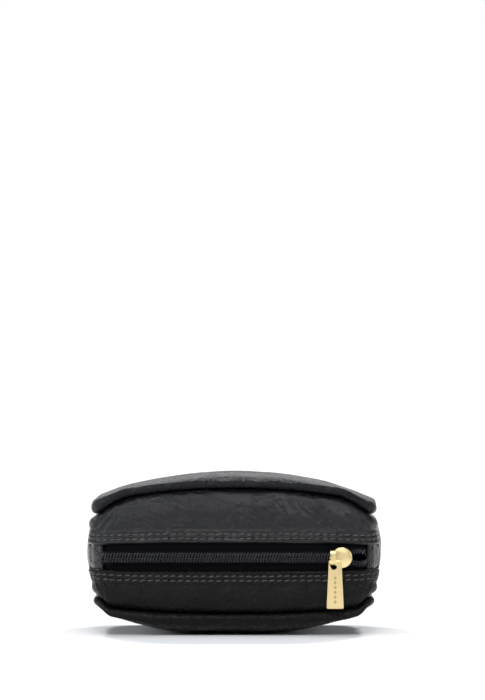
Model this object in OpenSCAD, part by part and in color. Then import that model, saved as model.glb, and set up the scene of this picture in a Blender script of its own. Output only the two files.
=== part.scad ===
// A soft leather coin purse with a zip, lying on its back panel.
// X runs along the zip, Z is up and the zip faces -Y. All sizes are in mm.
// The origin is at the bottom centre of the whole purse.

/* [Body] */
// half of the purse's width across the side gussets
half_width = 67.6; // [50:0.1:90]
// depth from the zip face to the base
body_depth = 84.75; // [60:0.25:120]
// corner radius beside the zip, seen from above
front_corner = 11.6; // [6:0.1:20]
// corner radius at the base, seen from above
base_corner = 20; // [10:1:30]
// highest point of the upper panel
top_height = 76; // [60:1:100]
// height of the zip's centre line
zip_height = 36.4; // [25:0.1:50]

/* [Seams] */
// upper seam at the corners
upper_seam = 60; // [50:0.5:70]
// lower seam at the corners
lower_seam = 17.5; // [8:0.5:25]
// rise of both seams between the corners and the middle
seam_arch = 8; // [0:0.5:12]
// how far a panel's rolled lip stands out over the wall
lip = 1.2; // [0.5:0.1:3]
// how far the wall leans back at the upper seam
lean_up = 3; // [0:0.5:6]
// how far the wall leans back at the lower seam
lean_down = 4; // [0:0.5:6]

/* [Materials] */
// leather thickness
leather = 1.3; // [0.8:0.1:2]
// lining thickness
lining = 0.4; // [0.3:0.1:1]
// gap left between two layers
layer_gap = 0.3; // [0.2:0.05:0.5]

/* [Zip] */
// opening between the folded edges of the two strips
zip_gap = 12.9; // [10:0.1:18]
// coil pitch of a number 5 zip
coil_pitch = 1.33; // [1:0.01:2]
// thickness of one coil turn along the zip
turn_width = 0.6; // [0.4:0.05:0.8]
// height of the coil above the tape
coil_height = 2; // [1:0.1:3]
// inner edge of the left end tab
left_tab_x = -61.2; // [-64:0.1:-50]
// inner edge of the right end tab
right_tab_x = 62.6; // [50:0.1:64]
// centre of the slider's round cap along the zip
slider_x = 49.6; // [-50:0.1:52]
// radius of the slider's round cap
cap_radius = 4.75; // [4:0.05:6]

/* [Pull] */
// length of the pull tab from its bar to its end
pull_length = 21.6; // [15:0.1:30]
// width of the pull tab below its bar
pull_top_width = 5.9; // [4:0.1:8]
// width of the pull tab at its end
pull_end_width = 7.9; // [5:0.1:10]
// thickness of the pull tab
pull_thickness = 1.1; // [0.8:0.1:2]

/* [Stitching] */
// stitch spacing along a row
stitch_pitch = 3.5; // [2:0.1:5]
// visible length of one stitch
stitch_length = 2.6; // [1.5:0.1:4]
// thread radius
thread = 0.3; // [0.2:0.05:0.5]
// distances of the two stitch rows from a strip's folded edge
stitch_rows = [2.2, 4.3];

/* [Hidden] */

// y of the zip face: the slider's crown stands 5.25 mm in front of it
front_y = -39.75;
base_y = front_y + body_depth;
centre_y = (front_y + base_y) / 2;

// lengths of the stretches of the outline, counted from the middle of the zip
front_flat = half_width - front_corner;
front_arc = front_corner * PI / 2;
side_flat = body_depth - front_corner - base_corner;
base_arc = base_corner * PI / 2;
base_flat = half_width - base_corner;
side_start = front_flat + front_arc;
base_start = side_start + side_flat;
half_outline = base_start + base_arc + base_flat;

// the strips and tabs end on the sides, where the gusset is sewn to them
strip_end = side_start + 4;

rim = 1.6;             // height of a panel's rim beyond its seam
belly = -0.7;          // the back panel's lowest point before it is pressed flat
tape_depth = 1.6;      // depth of the tape's outer face behind the zip face
tape = 0.5;
facing_depth = 3.6;    // depth of the strips' facings, behind tape and slider
facing_end = 58;       // the facings end before the corners, at the end tabs
tab_depth = leather + 0.5;
tab_half = 8.5;        // half the height of an end tab, partly under the strips
meshed = 1.3;          // distance of a closed coil row's middle from the centre line
row_half = 1.65;       // half the width of a coil row

// ---- outline of the purse seen from above, by distance u from the zip's middle ----

function wrapped(u) = u > half_outline ? u - 2 * half_outline : u;

function half_point(u) =
    u <= front_flat ? [u, front_y]
    : u <= side_start ?
        let (turn = (u - front_flat) / front_arc * 90)
        [front_flat + front_corner * sin(turn), front_y + front_corner * (1 - cos(turn))]
    : u <= base_start ? [half_width, front_y + front_corner + u - side_start]
    : u <= base_start + base_arc ?
        let (turn = (u - base_start) / base_arc * 90)
        [half_width - base_corner * (1 - cos(turn)), base_y - base_corner * (1 - sin(turn))]
    : [half_outline - u, base_y];

function half_heading(u) =
    u <= front_flat ? 0
    : u <= side_start ? (u - front_flat) / front_arc * 90
    : u <= base_start ? 90
    : u <= base_start + base_arc ? 90 + (u - base_start) / base_arc * 90
    : 180;

// a point of the outline, and the direction in which the outline runs there
function outline(u) =
    let (w = wrapped(u), p = half_point(abs(w)))
    w < 0 ? [-p[0], p[1]] : p;

function heading(u) =
    let (w = wrapped(u))
    w < 0 ? -half_heading(-w) : half_heading(w);

// ---- the wall between the seams ----

function arch(u) = seam_arch * (1 - pow(abs(outline(u)[0]) / half_width, 2.2));
function high_seam(u) = upper_seam + arch(u);
function low_seam(u) = lower_seam - arch(u);

// the wall is fullest at the zip's height and leans back towards both seams
function lean(u, z) =
    z > zip_height ?
        lean_up * pow((z - zip_height) / (high_seam(u) - zip_height), 2)
        : lean_down * pow((zip_height - z) / (zip_height - low_seam(u)), 2);

// a point of the wall at height z, the given depth behind its outer face
function wall_point(u, z, depth) =
    let (p = outline(u), h = heading(u), back = lean(u, z) + depth)
    [p[0] - sin(h) * back, p[1] + cos(h) * back, z];

// half the opening between the strips, a little narrower at its ends
function half_gap(u) = zip_gap / 2 - 0.8 * pow(min(abs(u), 62) / 62, 4);

// ---- solids ----

function quad(a, b, c, d) = [[a, b, c], [a, c, d]];

// A closed skin between an outer and an inner grid of points.
module skin(outer, inner) {
    rows = len(outer);
    columns = len(outer[0]);
    count = rows * columns;
    function front(i, j) = i * columns + j;
    function back(i, j) = count + i * columns + j;
    last_row = rows - 1;
    last_column = columns - 1;
    faces = [
        for (i = [0 : last_row - 1], j = [0 : last_column - 1]) each concat(
            quad(front(i, j), front(i, j + 1), front(i + 1, j + 1), front(i + 1, j)),
            quad(back(i, j), back(i + 1, j), back(i + 1, j + 1), back(i, j + 1))
        ),
        for (i = [0 : last_row - 1]) each concat(
            quad(front(i, 0), front(i + 1, 0), back(i + 1, 0), back(i, 0)),
            quad(front(i, last_column), back(i, last_column),
                back(i + 1, last_column), front(i + 1, last_column))
        ),
        for (j = [0 : last_column - 1]) each concat(
            quad(front(0, j), back(0, j), back(0, j + 1), front(0, j + 1)),
            quad(front(last_row, j), front(last_row, j + 1),
                back(last_row, j + 1), back(last_row, j))
        )
    ];
    polyhedron(
        points = concat([for (row = outer) each row], [for (row = inner) each row]),
        faces = faces
    );
}

// A skin that follows the wall from u_start to u_end between two heights.
// low, high and depth are functions of u.
module wall_skin(u_start, u_end, columns, rows, low, high, depth, thick) {
    us = [for (i = [0 : columns]) u_start + (u_end - u_start) * i / columns];
    outer = [for (u = us) [for (j = [0 : rows])
        wall_point(u, low(u) + (high(u) - low(u)) * j / rows, depth(u))]];
    inner = [for (u = us) [for (j = [0 : rows])
        wall_point(u, low(u) + (high(u) - low(u)) * j / rows, depth(u) + thick)]];
    skin(outer, inner);
}

// A closed dished skin: two middle points and rings of points around them.
module dish(outer_middle, inner_middle, outer, inner) {
    rings = len(outer);
    around = len(outer[0]);
    count = rings * around;
    function front(i, j) = i * around + j % around;
    function back(i, j) = count + i * around + j % around;
    faces = [
        for (j = [0 : around - 1]) [2 * count, front(0, j + 1), front(0, j)],
        for (j = [0 : around - 1]) [2 * count + 1, back(0, j), back(0, j + 1)],
        for (i = [0 : rings - 2], j = [0 : around - 1]) each concat(
            quad(front(i, j), front(i, j + 1), front(i + 1, j + 1), front(i + 1, j)),
            quad(back(i, j), back(i + 1, j), back(i + 1, j + 1), back(i, j + 1))
        ),
        for (j = [0 : around - 1]) each quad(front(rings - 1, j), front(rings - 1, j + 1),
            back(rings - 1, j + 1), back(rings - 1, j))
    ];
    polyhedron(
        points = concat(
            [for (ring = outer) each ring], [for (ring = inner) each ring],
            [outer_middle, inner_middle]
        ),
        faces = faces
    );
}

// ---- the two panels ----

ring_steps = [0.16, 0.32, 0.46, 0.6, 0.72, 0.82, 0.9, 0.95, 0.98, 1];
panel_around = 56;

// fullness of a panel from its rim (share 1) to its middle (share 0)
function fullness(share, power) = pow(1 - pow(share, power), 0.52);

function panel_plan(share, u, seam, inset) =
    let (edge = wall_point(u, seam, inset - lip))
    [edge[0] * share, centre_y + (edge[1] - centre_y) * share];

function upper_point(share, u, drop, inset) =
    let (start = high_seam(u) + rim)
    concat(panel_plan(share, u, high_seam(u), inset),
        [start + (top_height - start) * fullness(share, 2.2) - drop]);

function lower_point(share, u, drop, inset) =
    let (start = low_seam(u) - rim)
    concat(panel_plan(share, u, low_seam(u), inset),
        [start + (belly - start) * fullness(share, 3) + drop]);

function around_steps() = [for (j = [0 : panel_around - 1]) j / panel_around * 2 * half_outline];

module upper_dish(outer_drop, outer_inset, inner_drop, inner_inset) {
    dish(
        [0, centre_y, top_height - outer_drop],
        [0, centre_y, top_height - inner_drop],
        [for (s = ring_steps) [for (u = around_steps()) upper_point(s, u, outer_drop, outer_inset)]],
        [for (s = ring_steps) [for (u = around_steps()) upper_point(s, u, inner_drop, inner_inset)]]
    );
}

// the lower dishes are listed upside down, so that their outer face is underneath
module lower_dish(outer_drop, outer_inset, inner_drop, inner_inset) {
    dish(
        [0, centre_y, belly + inner_drop],
        [0, centre_y, belly + outer_drop],
        [for (s = ring_steps) [for (u = around_steps()) lower_point(s, u, inner_drop, inner_inset)]],
        [for (s = ring_steps) [for (u = around_steps()) lower_point(s, u, outer_drop, outer_inset)]]
    );
}

panel_inset = 1.2;

module front_panel() {
    color([0.06, 0.06, 0.065])
    upper_dish(0, 0, leather, panel_inset);
}

// pressed flat on the underside, where the purse rests
module back_panel() {
    color([0.06, 0.06, 0.065])
    difference() {
        lower_dish(0, 0, leather + 0.3, panel_inset);
        translate([-80, -80, -5])
            cube([160, 160, 5]);
    }
}

module lining_front_panel() {
    drop = leather + layer_gap;
    color([0.2, 0.2, 0.22])
    upper_dish(drop, lip + 2.3, drop + lining, lip + 2.8);
}

module lining_back_panel() {
    drop = leather + 0.3 + layer_gap;
    color([0.2, 0.2, 0.22])
    lower_dish(drop, lip + 2.3, drop + lining, lip + 2.8);
}

// ---- gusset, strips and tabs ----

module side_gusset() {
    start = strip_end + layer_gap;
    color([0.05, 0.05, 0.055])
    wall_skin(start, 2 * half_outline - start, 66, 7,
        function (u) low_seam(u), function (u) high_seam(u),
        function (u) 0, leather);
}

module lining_gusset() {
    start = strip_end + layer_gap;
    color([0.2, 0.2, 0.22])
    wall_skin(start, 2 * half_outline - start, 50, 5,
        function (u) low_seam(u) + 1, function (u) high_seam(u) - 1,
        function (u) leather + layer_gap, lining);
}

module zip_strip_front() {
    color([0.06, 0.06, 0.065])
    wall_skin(-strip_end, strip_end, 48, 4,
        function (u) zip_height + half_gap(u), function (u) high_seam(u),
        function (u) 0, leather);
}

module zip_strip_back() {
    color([0.06, 0.06, 0.065])
    wall_skin(-strip_end, strip_end, 48, 4,
        function (u) low_seam(u), function (u) zip_height - half_gap(u),
        function (u) 0, leather);
}

module lining_strip_front() {
    color([0.2, 0.2, 0.22])
    wall_skin(-facing_end, facing_end, 34, 3,
        function (u) zip_height + 6.9, function (u) high_seam(u) - 1,
        function (u) facing_depth, lining);
}

module lining_strip_back() {
    color([0.2, 0.2, 0.22])
    wall_skin(-facing_end, facing_end, 34, 3,
        function (u) low_seam(u) + 1, function (u) zip_height - 6.9,
        function (u) facing_depth, lining);
}

// where a tab's inner edge meets the outline, on the front corner
function corner_u(x) = front_flat + asin((abs(x) - front_flat) / front_corner) / 90 * front_arc;

module end_tab(x) {
    start = corner_u(x);
    color([0.06, 0.06, 0.065])
    mirror([x < 0 ? 1 : 0, 0, 0])
        wall_skin(start, strip_end, 6, 4,
            function (u) zip_height - tab_half, function (u) zip_height + tab_half,
            function (u) tab_depth, 1);
}

module end_tab_left() {
    end_tab(left_tab_x);
}

module end_tab_right() {
    end_tab(right_tab_x);
}

// ---- zip ----

// The coil rows run closed up to the slider, spread inside it and stay apart up to the tab.
spread = [
    [slider_x - 0.6, meshed], [slider_x + 5, meshed + 1.3], [slider_x + 8, meshed + 1.7],
    [right_tab_x, meshed + 0.6]
];
function row_middle(x) = lookup(x, spread);

// the tapes dip behind the end tabs
function tape_back(u) = tape_depth + 1.4 * min(max((abs(u) - 57) / 3, 0), 1);

module zip_tape(side) {
    low = function (u) zip_height + (side > 0 ? row_middle(u) - 0.9 : -12);
    high = function (u) zip_height + (side > 0 ? 12 : 0.9 - row_middle(u));
    color([0.03, 0.03, 0.035])
    wall_skin(-66, 66, 44, 2, low, high, function (u) tape_back(u), tape);
}

module zip_tape_front() {
    zip_tape(1);
}

module zip_tape_back() {
    zip_tape(-1);
}

// One row of the coil: slanted turns on the cord that holds them.
module zip_coil(side, phase, slant) {
    start = left_tab_x + 0.6 + phase;
    turns = floor((right_tab_x - 1.4 - start) / coil_pitch);
    xs = [for (i = [0 : turns]) start + i * coil_pitch];
    half = turn_width / 2;
    teeth = [for (x = xs) each [
        [x - half, row_middle(x) + 0.7],
        [x - half + slant, row_middle(x) - row_half],
        [x + half + slant, row_middle(x) - row_half],
        [x + half, row_middle(x) + 0.7]
    ]];
    cord = [for (i = [turns : -1 : 0]) [xs[i], row_middle(xs[i]) + row_half]];
    color([0.02, 0.02, 0.025])
    translate([0, front_y + tape_depth - 0.1, zip_height])
        rotate([90, 0, 0])
            linear_extrude(height = coil_height)
                scale([1, side])
                    polygon(concat(teeth, cord));
}

module zip_coil_front() {
    zip_coil(1, 0, -0.3);
}

module zip_coil_back() {
    zip_coil(-1, coil_pitch / 2 - 0.255, 0);
}

// ---- stitching ----

module stitch(u, z) {
    translate(wall_point(u, z, 0))
        rotate([0, 0, heading(u)])
            rotate([0, 90, 0])
                cylinder(r = thread, h = stitch_length, center = true, $fn = 8);
}

module strip_stitches(side) {
    half_count = floor((strip_end - 3) / stitch_pitch);
    color([0.3, 0.3, 0.28])
    for (i = [-half_count : half_count], row = stitch_rows) {
        u = i * stitch_pitch;
        stitch(u, zip_height + side * (half_gap(u) + row));
    }
}

module stitches_strip_front() {
    strip_stitches(1);
}

module stitches_strip_back() {
    strip_stitches(-1);
}

// one short upright row near the tab's folded edge
module tab_stitches(x) {
    u = corner_u(x) + 2.2;
    color([0.3, 0.3, 0.28])
    mirror([x < 0 ? 1 : 0, 0, 0])
        for (i = [-1 : 1])
            translate(wall_point(u, zip_height + i * stitch_pitch, tab_depth))
                cylinder(r = thread, h = stitch_length, center = true, $fn = 8);
}

module stitches_tab_left() {
    tab_stitches(left_tab_x);
}

module stitches_tab_right() {
    tab_stitches(right_tab_x);
}

// ---- slider ----

plate = 1;             // thickness of the slider's two plates
plate_face = -0.85;    // depth of the upper plate's inner face
slider_tail = -4.9;    // the slider's two ends, from the cap's centre
slider_nose = 4.9;
axis_depth = -3.75;    // depth of the pull's turning axis
axis_below = 1.8;      // its height below the zip's centre line
bar_radius = 0.65;
crown_x = slider_x - 4;
crown_width = 2.6;

// Extrudes a flat shape drawn in X and Z from one depth to another.
module across(depth_start, depth_end) {
    translate([slider_x, front_y + depth_end, zip_height])
        rotate([90, 0, 0])
            linear_extrude(height = depth_end - depth_start)
                children();
}

module plate_shape() {
    polygon([
        [slider_tail, -3], [slider_tail + 0.8, -3.6], [slider_nose - 1.2, -4.7],
        [slider_nose, -3.8], [slider_nose, 3.8], [slider_nose - 1.2, 4.7],
        [slider_tail + 0.8, 3.6], [slider_tail, 3]
    ]);
}

// the side wall that keeps a coil row in, seen from the front
module flange_shape(side) {
    scale([1, side])
        polygon([
            [slider_tail + 0.8, 3.15], [-0.6, 3.15], [slider_nose - 1.2, 4.3],
            [slider_nose - 1.2, 4.7], [slider_tail + 0.8, 3.6]
        ]);
}

// two plates joined by the wedge that parts the coil rows
module slider_body() {
    color([0.83, 0.7, 0.42]) {
        difference() {
            across(plate_face - plate, plate_face) plate_shape();
            across(plate_face - plate - 1, plate_face + 1)
                translate([-4, 1.5])
                    square([0.9, 0.9], center = true);
        }
        across(2.4, 2.4 + plate) plate_shape();
        across(plate_face - 0.2, 2.6)
            polygon([[2.6, 0], [3.6, 0.6], [4.9, 0.75], [4.9, -0.75], [3.6, -0.6]]);
        for (side = [-1, 1])
            across(plate_face - 0.2, 1.35) flange_shape(side);
    }
}

// round domed cap and the crown that holds the pull's bar
module slider_cap() {
    base = plate_face - plate - 0.05;
    color([0.86, 0.74, 0.46])
    difference() {
        union() {
            translate([slider_x, front_y + base, zip_height])
                rotate([90, 0, 0])
                    rotate_extrude($fn = 64)
                        polygon([
                            [0, 0], [cap_radius, 0], [cap_radius, 0.4],
                            [cap_radius * 0.93, 0.62], [cap_radius * 0.7, 0.8],
                            [cap_radius * 0.4, 0.9], [0, 0.95]
                        ]);
            translate([crown_x - crown_width / 2, front_y, zip_height])
                rotate([90, 0, 90])
                    linear_extrude(height = crown_width)
                        polygon([
                            [base, -3.3], [-4.6, -3.3], [-5.25, -2.6], [-5.25, 2.6],
                            [-4.6, 3.3], [base, 3.3], [base, 2.5], [-4.2, 2.5],
                            [-4.5, 2.1], [-4.5, -2.1], [-4.2, -2.5], [base, -2.5]
                        ]);
            translate([crown_x - crown_width / 2 - 0.1, front_y - 4.6, zip_height])
                sphere(r = 0.5, $fn = 32);
        }
        // room under the bar for the lock spring
        translate([crown_x - 0.85, front_y + base - 2, zip_height - 2.4])
            cube([1.7, 3, 4.8]);
    }
}

// leaf with a bent pin that reaches down to the coil
module lock_spring() {
    face = plate_face - plate - 0.1;
    color([0.7, 0.62, 0.45])
    union() {
        translate([crown_x - 0.6, front_y + face - 0.35, zip_height - 2.2])
            cube([1.2, 0.35, 4.2]);
        translate([slider_x - 4 - 0.3, front_y + face - 0.2, zip_height + 1.2])
            cube([0.6, -0.6 - face + 0.2, 0.6]);
    }
}

// ---- pull ----

// flat tab hung on a round bar, with a D-shaped eye for the crown
module pull_tab() {
    centre_x = 46.5 - slider_x;
    eye_x = crown_x - slider_x + 0.25;
    top = -axis_below;
    end = top - pull_length;
    color([0.86, 0.74, 0.46]) {
        translate([slider_x + centre_x, front_y + axis_depth, zip_height + top])
            rotate([0, 90, 0])
                cylinder(r = bar_radius, h = pull_top_width, center = true, $fn = 48);
        difference() {
            across(axis_depth - pull_thickness / 2, axis_depth + pull_thickness / 2)
                polygon([
                    [centre_x - pull_top_width / 2, top],
                    [centre_x - pull_end_width / 2, end + 0.6],
                    [centre_x - pull_end_width / 2 + 0.6, end],
                    [centre_x + pull_end_width / 2 - 0.6, end],
                    [centre_x + pull_end_width / 2, end + 0.6],
                    [centre_x + pull_top_width / 2, top]
                ]);
            // the eye opens up to the bar, so that the crown has room all the way round
            across(axis_depth - 2, axis_depth + 2)
                polygon([
                    [eye_x - 1.7, top + 1], [eye_x - 1.7, top - 2],
                    [eye_x - 0.9, top - 3.1], [eye_x, top - 3.5], [eye_x + 0.9, top - 3.1],
                    [eye_x + 1.7, top - 2], [eye_x + 1.7, top + 1]
                ]);
            // a shallow plain field on the outer face
            across(axis_depth - 2, axis_depth - pull_thickness / 2 + 0.15)
                polygon([
                    [centre_x - 2.2, top - 5.4], [centre_x - 2.8, end + 1.4],
                    [centre_x + 2.8, end + 1.4], [centre_x + 2.2, top - 5.4]
                ]);
        }
    }
}

front_panel();
back_panel();
side_gusset();
zip_strip_front();
zip_strip_back();
end_tab_left();
end_tab_right();
zip_tape_front();
zip_tape_back();
zip_coil_front();
zip_coil_back();
lining_front_panel();
lining_back_panel();
lining_gusset();
lining_strip_front();
lining_strip_back();
stitches_strip_front();
stitches_strip_back();
stitches_tab_left();
stitches_tab_right();
slider_body();
slider_cap();
lock_spring();
pull_tab();
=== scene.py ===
"""A black leather coin purse with a zip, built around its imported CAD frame.

Shapes are worked out in millimetres from the same driving sizes as the CAD source,
and turned into metres when a mesh is made. X runs along the zip, -Y is the zip's side
and Z is up.
"""

import math

import bpy
import numpy as np
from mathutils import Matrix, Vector


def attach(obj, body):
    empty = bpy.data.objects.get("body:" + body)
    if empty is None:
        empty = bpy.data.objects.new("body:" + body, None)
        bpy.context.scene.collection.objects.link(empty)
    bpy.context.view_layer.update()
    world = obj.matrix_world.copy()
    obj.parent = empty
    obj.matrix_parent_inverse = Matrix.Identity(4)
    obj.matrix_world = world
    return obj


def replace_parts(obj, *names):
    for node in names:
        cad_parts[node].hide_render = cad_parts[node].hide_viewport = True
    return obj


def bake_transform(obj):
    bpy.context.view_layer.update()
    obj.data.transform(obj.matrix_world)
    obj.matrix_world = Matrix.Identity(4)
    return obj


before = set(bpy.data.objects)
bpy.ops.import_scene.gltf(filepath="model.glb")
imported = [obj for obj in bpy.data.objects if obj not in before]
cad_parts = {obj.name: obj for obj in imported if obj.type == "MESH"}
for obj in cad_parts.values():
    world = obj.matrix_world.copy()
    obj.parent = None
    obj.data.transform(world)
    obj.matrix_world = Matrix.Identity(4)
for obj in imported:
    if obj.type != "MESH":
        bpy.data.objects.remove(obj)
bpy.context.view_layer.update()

MM = 0.001

# ---- driving sizes, as in the CAD source ----

HALF_WIDTH = 67.6
BODY_DEPTH = 84.75
FRONT_Y = -39.75
BASE_Y = FRONT_Y + BODY_DEPTH
CENTRE_Y = (FRONT_Y + BASE_Y) / 2
FRONT_CORNER = 11.6
BASE_CORNER = 20.0
TOP_HEIGHT = 76.0
ZIP_HEIGHT = 36.4
UPPER_SEAM = 60.0
LOWER_SEAM = 17.5
SEAM_ARCH = 8.0
LEAN_UP = 3.0
LEAN_DOWN = 4.0
ZIP_GAP = 12.9
LEATHER = 1.3
COIL_PITCH = 1.33
MESHED = 1.3
ROW_HALF = 1.65
TAPE_DEPTH = 1.6
TAB_DEPTH = LEATHER + 0.5
TAB_HALF = 8.5
LEFT_TAB_X = -61.2
RIGHT_TAB_X = 62.6
SLIDER_X = 49.6
CAP_RADIUS = 4.75
STITCH_PITCH = 3.5
STITCH_ROWS = (2.2, 4.3)

FRONT_FLAT = HALF_WIDTH - FRONT_CORNER
FRONT_ARC = FRONT_CORNER * math.pi / 2
SIDE_START = FRONT_FLAT + FRONT_ARC
BASE_START = SIDE_START + BODY_DEPTH - FRONT_CORNER - BASE_CORNER
BASE_ARC = BASE_CORNER * math.pi / 2
HALF_OUTLINE = BASE_START + BASE_ARC + HALF_WIDTH - BASE_CORNER
STRIP_END = SIDE_START + 4

# places along the zip where the mouth is meant to open, widest between the inner two; nothing in this
# script opens it
MOUTH_LEFT = (-48, -12)
MOUTH_RIGHT = (60, 24)
MOUTH_SPLIT = 5


# ---- smooth noise ----

def lattice(ix, iy, iz, seed):
    """A fixed pseudo-random number from -1 to 1 at each whole-number point."""
    h = (ix * 374761393 + iy * 668265263 + iz * 2147483647 + seed * 144665) & 0xFFFFFFFF
    h = ((h ^ (h >> 13)) * 1274126177) & 0xFFFFFFFF
    return ((h ^ (h >> 16)) & 0xFFFF) / 32767.5 - 1


def noise(points, size, seed=0):
    """Smooth noise from -1 to 1 whose bumps are about size mm wide."""
    p = np.asarray(points, float) / size
    cell = np.floor(p).astype(np.int64)
    f = p - cell
    f = f * f * f * (f * (f * 6 - 15) + 10)
    total = 0
    for dx in (0, 1):
        for dy in (0, 1):
            for dz in (0, 1):
                weight = (
                    (f[..., 0] if dx else 1 - f[..., 0])
                    * (f[..., 1] if dy else 1 - f[..., 1])
                    * (f[..., 2] if dz else 1 - f[..., 2])
                )
                corner = lattice(cell[..., 0] + dx, cell[..., 1] + dy, cell[..., 2] + dz, seed)
                total = total + weight * corner
    return total


# ---- the purse's outline and walls ----

def outline(u):
    """Place and heading of the outline at distance u from the middle of the zip."""
    u = np.asarray(u, float)
    w = np.where(u > HALF_OUTLINE, u - 2 * HALF_OUTLINE, u)
    a = np.abs(w)
    t1 = np.clip((a - FRONT_FLAT) / FRONT_ARC, 0, 1) * math.pi / 2
    t2 = np.clip((a - BASE_START) / BASE_ARC, 0, 1) * math.pi / 2
    along_side = np.clip(a - SIDE_START, 0, BASE_START - SIDE_START)
    along_base = np.clip(a - BASE_START - BASE_ARC, 0, None)
    x = np.minimum(a, FRONT_FLAT) + FRONT_CORNER * np.sin(t1)
    x = x - BASE_CORNER * (1 - np.cos(t2)) - along_base
    y = FRONT_Y + FRONT_CORNER * (1 - np.cos(t1)) + along_side + BASE_CORNER * np.sin(t2)
    side = np.where(w < 0, -1.0, 1.0)
    return x * side, y, (t1 + t2) * side


def smooth(t):
    t = np.clip(t, 0, 1)
    return t * t * (3 - 2 * t)


def high_seam(u):
    """Height of the upper seam: arched, and pulled down round the corners."""
    x = np.abs(outline(u)[0])
    behind = smooth((np.abs(np.where(u > HALF_OUTLINE, u - 2 * HALF_OUTLINE, u)) - SIDE_START)
                    / (BASE_START - SIDE_START))
    arched = UPPER_SEAM + SEAM_ARCH * (1 - (x / HALF_WIDTH) ** 2.2)
    return arched - 4.2 * smooth((x - 47) / 20) - 3.4 * behind * (1 - smooth((x - 47) / 20))


def low_seam(u):
    """Height of the lower seam: nearly straight, and turned up at the corners."""
    x = np.abs(outline(u)[0])
    return 10.2 + 3.4 * (x / 62) ** 2.5 + 3.6 * smooth((x - 57) / 10)


def lean(u, z):
    """How far the wall leans back at height z."""
    up = np.clip((z - ZIP_HEIGHT) / (high_seam(u) - ZIP_HEIGHT), 0, 1.2)
    down = np.clip((ZIP_HEIGHT - z) / (ZIP_HEIGHT - low_seam(u)), 0, 1.2)
    return LEAN_UP * up**2 + LEAN_DOWN * down**2


def wall(u, z, depth):
    """A point of the wall at height z, the given depth behind its outer face."""
    x, y, h = outline(u)
    back = lean(u, z) + depth
    return np.stack([x - np.sin(h) * back, y + np.cos(h) * back, z + 0 * x], -1)


def half_gap(u):
    """Half the opening between the two strips."""
    return ZIP_GAP / 2 - 0.8 * (np.minimum(np.abs(u), 62) / 62) ** 4


def row_middle(x):
    """Distance of a coil row's middle from the zip's centre line."""
    xs = [SLIDER_X - 0.6, SLIDER_X + 5, SLIDER_X + 8, RIGHT_TAB_X]
    return np.interp(x, xs, [MESHED, MESHED + 1.3, MESHED + 1.7, MESHED + 0.6])


def corner_u(x):
    """Outline distance of a place x on a front corner."""
    return FRONT_FLAT + math.asin((abs(x) - FRONT_FLAT) / FRONT_CORNER) * FRONT_CORNER


# ---- meshes ----

def make_mesh(name, points, faces, material):
    """An object at the origin from points in mm."""
    mesh = bpy.data.meshes.new(name)
    mesh.from_pydata((np.asarray(points, float) * MM).tolist(), [], faces)
    mesh.materials.append(material)
    mesh.update()
    mesh.shade_smooth()
    piece = bpy.data.objects.new(name, mesh)
    bpy.context.scene.collection.objects.link(piece)
    return piece


def grid_faces(rows, columns, wrap_rows=False, wrap_columns=False, flip=False, first=0):
    faces = []
    for i in range(rows if wrap_rows else rows - 1):
        k = (i + 1) % rows
        for j in range(columns if wrap_columns else columns - 1):
            m = (j + 1) % columns
            face = [i * columns + j, k * columns + j, k * columns + m, i * columns + m]
            faces.append([first + v for v in (face[::-1] if flip else face)])
    return faces


def loop_sweep(name, points, material, flip=False):
    """A solid whose closed cross-sections are the rows of points."""
    rows, columns = points.shape[:2]
    faces = grid_faces(rows, columns, wrap_columns=True, flip=flip)
    start = list(range(columns))
    end = [(rows - 1) * columns + j for j in range(columns)]
    faces.append(start[::-1] if flip else start)
    faces.append(end if flip else end[::-1])
    return make_mesh(name, points.reshape(-1, 3), faces, material)


def shell(name, outer, inner, material, flip=False):
    """A closed thin shell between two grids of the same shape."""
    rows, columns = outer.shape[:2]
    count = rows * columns
    faces = grid_faces(rows, columns, flip=flip)
    faces += grid_faces(rows, columns, flip=not flip, first=count)
    edge = [(i, 0) for i in range(rows)] + [(rows - 1, j) for j in range(1, columns)]
    edge += [(i, columns - 1) for i in range(rows - 2, -1, -1)]
    edge += [(0, j) for j in range(columns - 2, 0, -1)]
    for (i, j), (k, m) in zip(edge, edge[1:] + edge[:1]):
        a, b = i * columns + j, k * columns + m
        face = [a, a + count, b + count, b]
        faces.append(face[::-1] if flip else face)
    points = np.concatenate([outer.reshape(-1, 3), inner.reshape(-1, 3)])
    return make_mesh(name, points, faces, material)


def tube(path, radius, sides=8):
    """Rings of points round a path of points, in mm."""
    path = np.asarray(path, float)
    tangent = np.gradient(path, axis=0)
    tangent /= np.linalg.norm(tangent, axis=1, keepdims=True)
    up = np.cross(tangent, np.array([0.05, 0.02, 1.0]))
    normal = np.empty_like(path)
    normal[0] = up[0] / np.linalg.norm(up[0])
    for i in range(1, len(path)):
        n = normal[i - 1] - tangent[i] * np.dot(normal[i - 1], tangent[i])
        normal[i] = n / np.linalg.norm(n)
    other = np.cross(tangent, normal)
    angle = np.arange(sides) / sides * 2 * math.pi
    radius = np.broadcast_to(np.asarray(radius, float), (len(path),))
    ring = (
        normal[:, None, :] * np.cos(angle)[None, :, None]
        + other[:, None, :] * np.sin(angle)[None, :, None]
    )
    return path[:, None, :] + ring * radius[:, None, None]


def join_grids(name, grids, material, flip=False):
    """Many closed tubes as one object."""
    points, faces, first = [], [], 0
    for g in grids:
        rows, columns = g.shape[:2]
        faces += grid_faces(rows, columns, wrap_columns=True, flip=flip, first=first)
        start = [first + j for j in range(columns)]
        end = [first + (rows - 1) * columns + j for j in range(columns)]
        faces.append(start[::-1] if flip else start)
        faces.append(end if flip else end[::-1])
        points.append(g.reshape(-1, 3))
        first += rows * columns
    return make_mesh(name, np.concatenate(points), faces, material)


# ---- materials ----

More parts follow.
